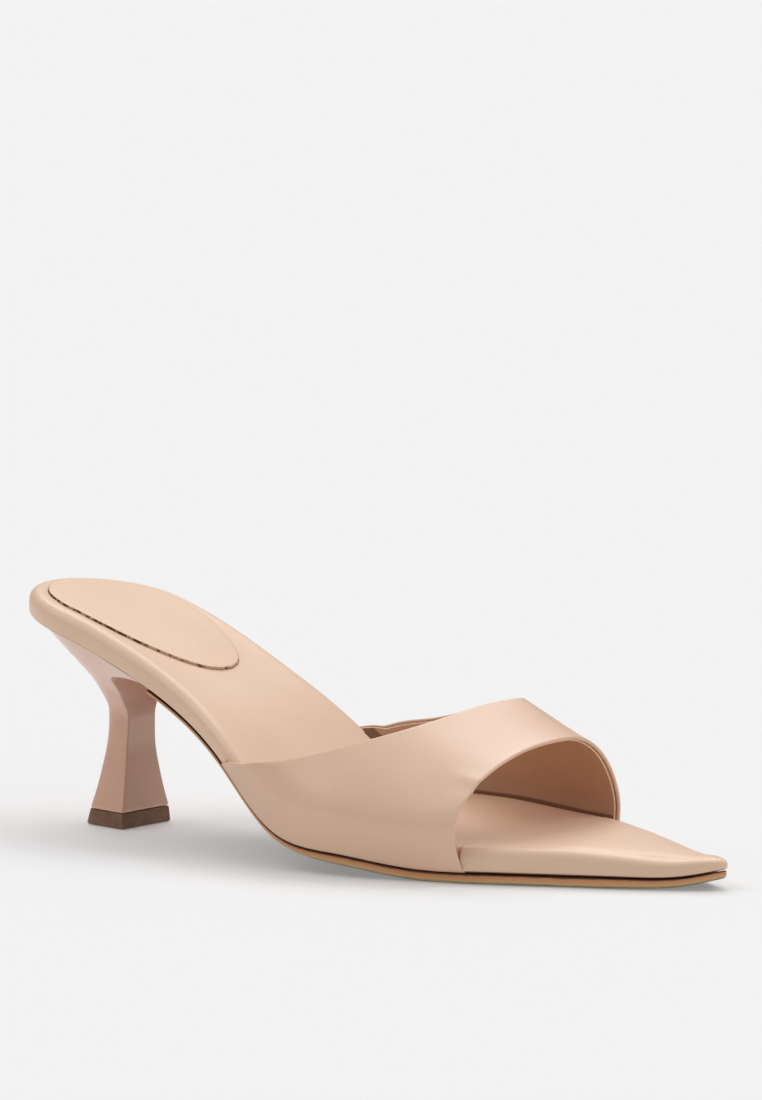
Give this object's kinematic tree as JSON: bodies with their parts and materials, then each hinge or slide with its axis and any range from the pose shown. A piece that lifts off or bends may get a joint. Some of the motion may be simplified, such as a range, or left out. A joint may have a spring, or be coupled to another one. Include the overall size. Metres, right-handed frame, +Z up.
{
  "type": "heeled mule shoe",
  "caption": "Open-back, open-toe heeled mule: one smooth band over the instep, padded pointed footbed, thin outsole and a flared block heel.",
  "frame": {"origin": "centre of the bounding box's base, on the ground", "axes": "+X from heel to toe, +Z up, -Y is the outer (lateral) side of this right shoe"},
  "size_m": [0.253, 0.0968, 0.0728],
  "materials": {
    "upper_leather": "smooth satin",
    "footbed_leather": "smooth satin",
    "heel_pad_leather": "smooth matt",
    "outsole_edge": "satin",
    "heel_cover": "semi-gloss",
    "top_piece_rubber": "matt"
  },
  "bodies": {
    "root": {"upper": "upper_leather", "footbed": "footbed_leather", "heel_pad": "heel_pad_leather", "outsole": "outsole_edge", "heel": "heel_cover", "top_piece": "top_piece_rubber"}
  },
  "joints": []
}
